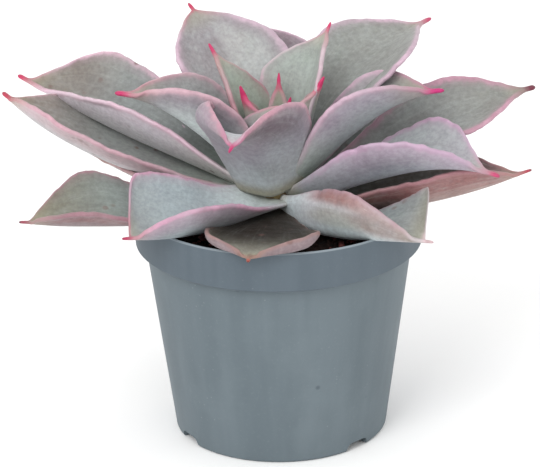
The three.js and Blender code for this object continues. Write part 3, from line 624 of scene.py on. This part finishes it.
def pigment(blade, look):
    """The leaf's own colour at each point, before its grain."""
    shade = {key: np.array(linear(look[key])[:3]) for key in (
        "face", "face_foot", "face_end", "back", "back_low", "back_foot", "clasp")}
    along, margin = blade["along"], blade["margin"]
    face = blend(shade["face_foot"], shade["face"], smooth(along, 0.12, 0.45))
    face = blend(face, shade["face_end"], smooth(along, 0.55, 0.95))
    back = blend(shade["back"], shade["back_low"], smooth(margin, 3, 16))
    back = blend(shade["back_foot"], back, smooth(along, 0.12, 0.42))
    colour = np.where(blade["upper"][..., None], face, back)
    colour = blend(colour, shade["clasp"], 0.7 * smooth(along, 0.11, 0.02))
    for side, s, u, long, wide, tone, strength in look["patches"]:
        sideways = (blade["across"] - u) * USUAL_HALF_WIDTH
        away = np.hypot((along - s) * blade["length"] / long, sideways / wide)
        share = strength * smooth(away, 1.3, 0.5) * (blade["upper"] == (side == "face"))
        colour = blend(colour, np.array(linear(tone)[:3]), share)
    return colour * SKIN_DEPTH


def add_object(name, mesh):
    """Puts the bmesh in the scene as an object, and frees it."""
    data = bpy.data.meshes.new(name)
    mesh.to_mesh(data)
    mesh.free()
    made = bpy.data.objects.new(name, data)
    bpy.context.scene.collection.objects.link(made)
    return made


def finished(name, mesh, materials, node):
    """Turns a bmesh into the piece that stands for a CAD node."""
    for face in mesh.faces:
        face.smooth = True
    piece = add_object(name, mesh)
    for material in materials:
        piece.data.materials.append(material)
    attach(piece, "root")
    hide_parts(node)
    return piece


def grow_leaf(node, leaf, look, seed):
    """Models one leaf from a flat grid that is rolled round the blade and closed at its foot and tip."""
    chance = random.Random(seed)
    ring = node.split("_")[0]
    stations, columns = HEART_GRID if ring == "heart" else LEAF_GRID
    blade = leaf_points(leaf, chance, stations, columns)
    colour = pigment(blade, look)
    mesh = bmesh.new()
    pigment_layer = mesh.verts.layers.float_color.new("pigment")
    blade_layer = mesh.verts.layers.float_vector.new("blade")
    measures = [(mesh.verts.layers.float.new(name), blade[key]) for name, key in (
        ("margin_mm", "margin"), ("tip_mm", "tip"), ("along", "along"))]
    bmesh.ops.create_grid(mesh, x_segments=columns, y_segments=stations, size=1)
    for vert in mesh.verts:
        j = round((vert.co.x + 1) / 2 * columns)
        i = round((vert.co.y + 1) / 2 * stations)
        vert.co = Vector(blade["points"][i, j] * MM)
        vert[pigment_layer] = (*colour[i, j], 1)
        across, along = blade["across"][i, j] * USUAL_HALF_WIDTH, blade["along"][i, j] * blade["length"]
        vert[blade_layer] = (across, along, seed)
        for layer, values in measures:
            vert[layer] = values[i, j]
    bmesh.ops.remove_doubles(mesh, verts=mesh.verts, dist=2e-6)
    bmesh.ops.holes_fill(mesh, edges=[e for e in mesh.edges if e.is_boundary], sides=0)
    bmesh.ops.recalc_face_normals(mesh, faces=mesh.faces)
    finished(node + "_blade", mesh, [leaf_finish(node + "_skin", look)], node)


# The pot, as the CAD builds it.
RIM_RADIUS = 52.5
POT_HEIGHT = 87
BAND_FOOT = 72
BAND_FOOT_RADIUS = 52.2
WALL = 0.9
BODY_TOP_RADIUS = 48.6
BASE_RADIUS = 39
FOOT_WIDTH = 2.2
CHANNEL_HEIGHT = 4
CHANNEL_FROM = 20
CHANNEL_SLOPE = 3
FLOOR_THICKNESS = 1.2
NOTCH_AZIMUTHS = (-150, -45, 30, 135)
NOTCH_WIDTH, NOTCH_HEIGHT, NOTCH_CORNER = 10.5, 3, 2.6
DRAIN_HOLE_RADIUS, DRAIN_HOLE_DISTANCE = 4, 30

# The pot's looks: the steps once round it, its softened edges and its colours.
POT_STEPS = 160
EASED_EDGE, EASED_ANGLE = 0.22, 28
POT_COLOURS = {
    "dark_stripe": (94, 105, 111), "light_stripe": (103, 114, 120), "cloud": (116, 127, 132),
    # The pale lip colour is a painted highlight along the top of the rim.
    "grain": (126, 136, 140), "mark": (62, 70, 78), "grit": (156, 164, 167), "lip": (160, 170, 176),
    # Painted shade on the rim band, from the leaves over it; it multiplies what lies under it.
    "rim_band_painted_shade": (222, 224, 230),  # multiplies what lies under it
}


def spun(mesh, profile, steps):
    """Spins a profile of (radius, height) points once round the Z axis."""
    verts = [mesh.verts.new((radius * MM, 0, height * MM)) for radius, height in profile]
    edges = [mesh.edges.new(pair) for pair in zip(verts, verts[1:])]
    bmesh.ops.spin(mesh, geom=verts + edges, cent=(0, 0, 0), axis=(0, 0, 1), angle=2 * math.pi,
                   steps=steps, use_merge=True)
    bmesh.ops.remove_doubles(mesh, verts=mesh.verts, dist=1e-6)
    bmesh.ops.recalc_face_normals(mesh, faces=mesh.faces)


def pot_finish():
    """Matte slate grey plastic with faint upright stripes, dust and small marks, with painted shade on the
    rim band and a painted highlight along the lip.
    """
    plastic = Finish("slate_grey_plastic", {"Specular IOR Level": 0.22})
    tint = {name: linear(colour) for name, colour in POT_COLOURS.items()}
    place = plastic.object_place
    stripes = plastic.grain(plastic.stretched(place, (60, 60, 4)), 1.0, 3, 0.6)
    cloud = plastic.grain(place, 34, 4, 0.6)
    fine = plastic.grain(place, 900, 3, 0.6)
    colour = plastic.mix(plastic.fade(stripes, 0.32, 0.68), tint["dark_stripe"], tint["light_stripe"])
    colour = plastic.mix(plastic.fade(cloud, 0.45, 0.7, 0, 0.3), colour, tint["cloud"])
    colour = plastic.mix(plastic.fade(fine, 0.55, 0.8, 0, 0.2), colour, tint["grain"])
    dots = plastic.cells(place, 150)
    sparse = plastic.fade(plastic.grain(place, 30, 2), 0.6, 0.68)
    mark = plastic.times(plastic.fade(dots.outputs["Distance"], 0.2, 0.08), sparse, 0.55)
    colour = plastic.mix(mark, colour, tint["mark"])
    dust = plastic.cells(place, 420)
    dusty = plastic.fade(plastic.grain(place, 55, 2), 0.55, 0.68)
    grit = plastic.times(plastic.fade(dust.outputs["Distance"], 0.16, 0.08), dusty, 0.22)
    colour = plastic.mix(grit, colour, tint["grit"])
    up = plastic.add("SeparateXYZ", {"Vector": place}).outputs["Z"]
    # Painted shade: the rim band is darkened above its foot, where the leaves over it would shade it.
    rim_band_painted_shade = plastic.fade(up, (BAND_FOOT - 0.3) * MM, (BAND_FOOT + 0.3) * MM)
    colour = plastic.mix(rim_band_painted_shade, colour, tint["rim_band_painted_shade"], "MULTIPLY")
    # Painted highlight: a pale line along the top of the lip.
    lip = plastic.fade(up, (POT_HEIGHT - 0.8) * MM, (POT_HEIGHT - 0.4) * MM, 0, 0.5)
    colour = plastic.mix(lip, colour, tint["lip"])
    roughness = plastic.fade(cloud, 0.3, 0.7, 0.5, 0.62)
    height = plastic.math("ADD", plastic.math("MULTIPLY", fine, 0.4), stripes)
    return plastic.paint(colour, roughness, height, 0.12 * MM, 0.5)


def boolean_cut(piece, cutters):
    """Cuts the closed cutters out of the piece and keeps the result as its mesh."""
    for cutter in cutters:
        change = piece.modifiers.new("cut", "BOOLEAN")
        change.object = cutter
        change.solver = "EXACT"
    shaped = piece.evaluated_get(bpy.context.evaluated_depsgraph_get())
    made = bpy.data.meshes.new_from_object(shaped)
    piece.modifiers.clear()
    piece.data = made
    for cutter in cutters:
        bpy.data.objects.remove(cutter)


def set_out(mesh, radius, height, azimuth):
    """Moves a cutter to its place round the pot and makes it an object."""
    bmesh.ops.translate(mesh, verts=mesh.verts, vec=(radius * MM, 0, height * MM))
    turn = Matrix.Rotation(math.radians(azimuth), 3, "Z")
    bmesh.ops.rotate(mesh, verts=mesh.verts, cent=(0, 0, 0), matrix=turn)
    return add_object("cutter", mesh)


def notch_cutter(azimuth):
    """An arched block through the pot's foot."""
    mesh = bmesh.new()
    bmesh.ops.create_cube(mesh, size=1)
    bmesh.ops.scale(mesh, verts=mesh.verts, vec=(10 * MM, NOTCH_WIDTH * MM, (NOTCH_HEIGHT + 1) * MM))
    top = [edge for edge in mesh.edges if all(vert.co.z > 0 for vert in edge.verts)]
    sides = [edge for edge in top if abs(edge.verts[0].co.y - edge.verts[1].co.y) < 1e-6]
    bmesh.ops.bevel(mesh, geom=sides, offset=NOTCH_CORNER * MM, segments=6, profile=0.5,
                    affect="EDGES", material=-1)
    return set_out(mesh, BASE_RADIUS, (NOTCH_HEIGHT - 1) / 2, azimuth)


def drain_cutter(azimuth):
    """A drill through the floor of the pot's raised channel."""
    mesh = bmesh.new()
    bmesh.ops.create_cone(mesh, cap_ends=True, segments=40, radius1=DRAIN_HOLE_RADIUS * MM,
                          radius2=DRAIN_HOLE_RADIUS * MM, depth=6 * MM)
    return set_out(mesh, DRAIN_HOLE_DISTANCE, CHANNEL_HEIGHT, azimuth)


def make_pot():
    outside = [
        (0, 0), (CHANNEL_FROM, 0), (CHANNEL_FROM + CHANNEL_SLOPE, CHANNEL_HEIGHT),
        (BASE_RADIUS - FOOT_WIDTH - 0.6, CHANNEL_HEIGHT), (BASE_RADIUS - FOOT_WIDTH - 0.5, 0),
        (BASE_RADIUS - 0.5, 0), (BASE_RADIUS, 0.6), (BODY_TOP_RADIUS, BAND_FOOT - 0.5),
        (BAND_FOOT_RADIUS - 0.6, BAND_FOOT), (BAND_FOOT_RADIUS, BAND_FOOT + 0.6),
        (RIM_RADIUS, POT_HEIGHT - 0.4), (RIM_RADIUS - 0.4, POT_HEIGHT)]
    inside = [
        (RIM_RADIUS - WALL, POT_HEIGHT - 0.2), (BAND_FOOT_RADIUS - WALL, BAND_FOOT + 1.2),
        (BODY_TOP_RADIUS - WALL, BAND_FOOT + 0.6),
        (BASE_RADIUS - WALL, CHANNEL_HEIGHT + FLOOR_THICKNESS),
        (CHANNEL_FROM + CHANNEL_SLOPE - 0.6, CHANNEL_HEIGHT + FLOOR_THICKNESS),
        (CHANNEL_FROM - 0.6, FLOOR_THICKNESS), (0, FLOOR_THICKNESS)]
    mesh = bmesh.new()
    spun(mesh, outside + inside, POT_STEPS)
    pot = finished("pot_moulding", mesh, [pot_finish()], "pot")
    boolean_cut(pot, [made(azimuth) for made in (notch_cutter, drain_cutter) for azimuth in NOTCH_AZIMUTHS])
    edges = pot.modifiers.new("eased_edges", "BEVEL")
    edges.width, edges.segments, edges.limit_method = EASED_EDGE * MM, 2, "ANGLE"
    edges.angle_limit = math.radians(EASED_ANGLE)
    edges.harden_normals = True


# Potting mix.
SOIL_EDGE_HEIGHT = 77.2
SOIL_CENTRE_HEIGHT = 79
SOIL_RINGS, SOIL_STEPS = 34, 150
GAP = 0.35  # room between the mix and the pot
SOIL_SEED = 11
CRUMBS, CHIPS = 900, 90
CRUMBS_FROM_WALL = 2.5
BARK_CRUMBS = 0.25  # share of the crumbs that are bark


def peat_finish():
    peat = Finish("dark_peat", {"Specular IOR Level": 0.25})
    black, brown, crumb = (linear(c) for c in ((22, 18, 18), (58, 42, 38), (96, 74, 62)))
    place = peat.object_place
    coarse = peat.grain(place, 260, 5, 0.7)
    fine = peat.grain(place, 1100, 4, 0.7)
    colour = peat.mix(peat.fade(coarse, 0.35, 0.65), black, brown)
    colour = peat.mix(peat.fade(fine, 0.6, 0.75, 0, 0.5), colour, crumb)
    height = peat.math("ADD", coarse, peat.math("MULTIPLY", fine, 0.5))
    return peat.paint(colour, peat.fade(coarse, 0.3, 0.7, 0.8, 0.97), height, 1.2 * MM, 0.9)


def bark_finish():
    bark = Finish("red_brown_bark", {"Specular IOR Level": 0.3})
    red, pink, dark = (linear(c) for c in ((92, 44, 46), (132, 78, 74), (48, 26, 26)))
    place = bark.object_place
    lines = bark.grain(bark.stretched(place, (900, 260, 260)), 1.0, 4, 0.65)
    coarse = bark.grain(place, 200, 3)
    colour = bark.mix(bark.fade(coarse, 0.3, 0.7), red, pink)
    colour = bark.mix(bark.fade(lines, 0.45, 0.7, 0, 0.6), colour, dark)
    return bark.paint(colour, bark.fade(coarse, 0.3, 0.7, 0.65, 0.9), lines, 0.5 * MM, 0.8)


def soil_height(radius, azimuth):
    """The mix's surface: a shallow mound with lumps."""
    mound = SOIL_EDGE_HEIGHT + (SOIL_CENTRE_HEIGHT - SOIL_EDGE_HEIGHT) * (1 - radius / (RIM_RADIUS - WALL))
    place = Vector((radius * math.cos(azimuth), radius * math.sin(azimuth), 0))
    return mound + 1.1 * noise.noise(place * 0.22) + 0.5 * noise.noise(place * 0.6)


def scatter(mesh, chance, chip, spread):
    """Lays one rough chip or crumb on the mix, within the radius spread."""
    radius = math.sqrt(chance.uniform(0.02, 1)) * spread
    azimuth = chance.uniform(0, 2 * math.pi)
    if chip:
        made = bmesh.ops.create_cube(mesh, size=1)["verts"]
        size = Vector((chance.uniform(3, 7), chance.uniform(1.6, 3.2), chance.uniform(0.7, 1.5)))
    else:
        made = bmesh.ops.create_icosphere(mesh, subdivisions=1, radius=0.5)["verts"]
        size = Vector([chance.uniform(0.8, 2.6) for _ in range(3)])
    for vert in made:
        stretched = vert.co * chance.uniform(0.7, 1.15)
        vert.co = stretched + Vector([chance.uniform(-0.1, 0.1) for _ in range(3)])
    bmesh.ops.scale(mesh, verts=made, vec=size * MM)
    spin, lean = chance.uniform(0, 6.28), chance.gauss(0, 0.3)
    turn = Matrix.Rotation(spin, 3, "Z") @ Matrix.Rotation(lean, 3, "X")
    bmesh.ops.rotate(mesh, verts=made, cent=(0, 0, 0), matrix=turn)
    place = Vector((radius * math.cos(azimuth), radius * math.sin(azimuth),
                    soil_height(radius, azimuth) + size.z * 0.2)) * MM
    bmesh.ops.translate(mesh, verts=made, vec=place)
    if chip or chance.random() < BARK_CRUMBS:
        for face in {f for v in made for f in v.link_faces}:
            face.material_index = 1


def make_soil():
    chance = random.Random(SOIL_SEED)
    wall_radius = RIM_RADIUS - WALL - 2 * GAP
    rings = [(radius, SOIL_CENTRE_HEIGHT) for radius in np.linspace(wall_radius, 0, SOIL_RINGS)]
    floor = FLOOR_THICKNESS + GAP
    profile = [
        (0, floor), (CHANNEL_FROM - 0.7 - GAP, floor),
        (CHANNEL_FROM + CHANNEL_SLOPE - 0.9, CHANNEL_HEIGHT + floor),
        (BASE_RADIUS - WALL - GAP, CHANNEL_HEIGHT + floor),
        (BODY_TOP_RADIUS - WALL - GAP, BAND_FOOT + 0.6 + GAP), (wall_radius, BAND_FOOT + 1.4 + GAP)]
    mesh = bmesh.new()
    spun(mesh, profile + rings, SOIL_STEPS)
    for vert in mesh.verts:
        if vert.co.z > (SOIL_CENTRE_HEIGHT - 0.01) * MM:
            radius = math.hypot(vert.co.x, vert.co.y) / MM
            vert.co.z = soil_height(radius, math.atan2(vert.co.y, vert.co.x)) * MM
    for index in range(CRUMBS + CHIPS):
        scatter(mesh, chance, index >= CRUMBS, wall_radius - CRUMBS_FROM_WALL)
    finished("potting_mix_bed", mesh, [peat_finish(), bark_finish()], "potting_mix")


# The stem's side as (radius, height) points: the CAD's, to the nearest 0.1 mm.
STEM_SIDE = ((5, 62), (6.2, 77.2), (6.7, 88), (5.6, 102), (2.8, 110), (1.2, 114), (0, 114.4))
STEM_STATIONS, STEM_STEPS = 70, 40


def stem_finish():
    skin = Finish("tan_stem_skin", {"Specular IOR Level": 0.3})
    tan, pale, dark = (linear(c) for c in ((112, 90, 62), (136, 120, 84), (70, 48, 36)))
    place = skin.object_place
    lines = skin.grain(skin.stretched(place, (420, 420, 130)), 1.0, 4, 0.6)
    coarse = skin.grain(place, 210, 3)
    colour = skin.mix(skin.fade(coarse, 0.35, 0.65), tan, pale)
    colour = skin.mix(skin.fade(lines, 0.5, 0.7, 0, 0.6), colour, dark)
    return skin.paint(colour, skin.fade(coarse, 0.3, 0.7, 0.55, 0.8), lines, 0.6 * MM, 0.8)


def make_stem():
    """Spins the stem and adds slanting leaf scars and lumps."""
    radii, heights = zip(*STEM_SIDE)
    stations = np.linspace(heights[0], heights[-1], STEM_STATIONS)
    side = [(float(np.interp(height, heights, radii)), float(height)) for height in stations]
    mesh = bmesh.new()
    spun(mesh, [(0, heights[0])] + side, STEM_STEPS)
    for vert in mesh.verts:
        radius = math.hypot(vert.co.x, vert.co.y)
        if radius > 0.01 * MM:
            scars = 0.35 * math.sin(vert.co.z / MM * 2.4 + 2 * math.atan2(vert.co.y, vert.co.x))
            change = (scars + 0.5 * noise.noise(vert.co * 300)) * MM * min(1, radius / (3 * MM))
            vert.co.x *= 1 + change / radius
            vert.co.y *= 1 + change / radius
    finished("stem_scarred", mesh, [stem_finish()], "stem")


def floor_finish():
    paper = Finish("white_paper", {"Roughness": 0.9, "Specular IOR Level": 0.1})
    cloud = paper.grain(paper.object_place, 9, 3)
    colour = paper.mix(paper.fade(cloud, 0.3, 0.7), linear((250, 250, 250)), linear((253, 253, 252)))
    return paper.paint(colour, 0.9, cloud, 0.1 * MM, 0.2)


def make_floor():
    """A sheet of paper 6 m wide, just under the pot."""
    mesh = bmesh.new()
    bmesh.ops.create_grid(mesh, x_segments=8, y_segments=8, size=3)
    bmesh.ops.translate(mesh, verts=mesh.verts, vec=(0, 0, -0.2 * MM))
    floor = add_object("studio_floor", mesh)
    floor.data.materials.append(floor_finish())


# The studio's soft lights, in metres and watts, and the height in the plant that they are turned to.
SOFT_LIGHTS = {
    "key_light": {"place": (-0.6, -1.1, 1.2), "size": 0.8, "power": 11},
    "fill_light": {"place": (0.5, -1.4, 0.7), "size": 1.0, "power": 1.5},
}
LIT_HEIGHT = 0.08
WORLD_LIGHT = 1.08


def soft_light(name, place, size, power):
    """A square light at a place, turned to the middle of the plant."""
    lamp = bpy.data.lights.new(name, "AREA")
    lamp.size, lamp.energy = size, power
    holder = bpy.data.objects.new(name, lamp)
    aim = Vector((0, 0, LIT_HEIGHT)) - Vector(place)
    holder.matrix_world = Matrix.Translation(place) @ aim.to_track_quat("-Z", "Y").to_matrix().to_4x4()
    bpy.context.scene.collection.objects.link(holder)


def light_studio():
    scene = bpy.context.scene
    scene.view_settings.view_transform = "Standard"
    world = bpy.data.worlds.new("white_studio")
    world.use_nodes = True
    sky = world.node_tree.nodes["Background"].inputs
    sky["Color"].default_value = (1, 1, 1, 1)
    sky["Strength"].default_value = WORLD_LIGHT
    scene.world = world
    for name, light in SOFT_LIGHTS.items():
        soft_light(name, **light)


# The camera, as the pot's outline was measured with it.
CAMERA_ELEVATION, CAMERA_ROLL = 21.65, -0.94
CAMERA_DISTANCE = 1200
CAMERA_TARGET = (-3.17, 0, 73.8)
CAMERA_LENS, CAMERA_FILM = 219.3, 36


def set_camera():
    elevation, roll = math.radians(CAMERA_ELEVATION), math.radians(CAMERA_ROLL)
    back = Vector((0, -math.cos(elevation), math.sin(elevation)))
    right = Vector((1, 0, 0))
    up = back.cross(right)
    turned_right = math.cos(roll) * right + math.sin(roll) * up
    turned_up = math.cos(roll) * up - math.sin(roll) * right
    camera = bpy.data.cameras.new("photo_camera")
    camera.lens, camera.sensor_width, camera.sensor_fit = CAMERA_LENS, CAMERA_FILM, "HORIZONTAL"
    holder = bpy.data.objects.new("photo_camera", camera)
    axes = Matrix((turned_right, turned_up, back)).transposed().to_4x4()
    place = Vector(CAMERA_TARGET) * MM + back * (CAMERA_DISTANCE * MM)
    holder.matrix_world = Matrix.Translation(place) @ axes
    bpy.context.scene.collection.objects.link(holder)
    bpy.context.scene.camera = holder


make_floor()
light_studio()
set_camera()
make_pot()
make_soil()
make_stem()
for number, (node, shape) in enumerate(LEAVES.items()):
    look = {**LOOK_DEFAULTS, **LOOKS[node]}
    grow_leaf(node, {**LEAF_DEFAULTS, **shape}, look, FIRST_LEAF_SEED + number)
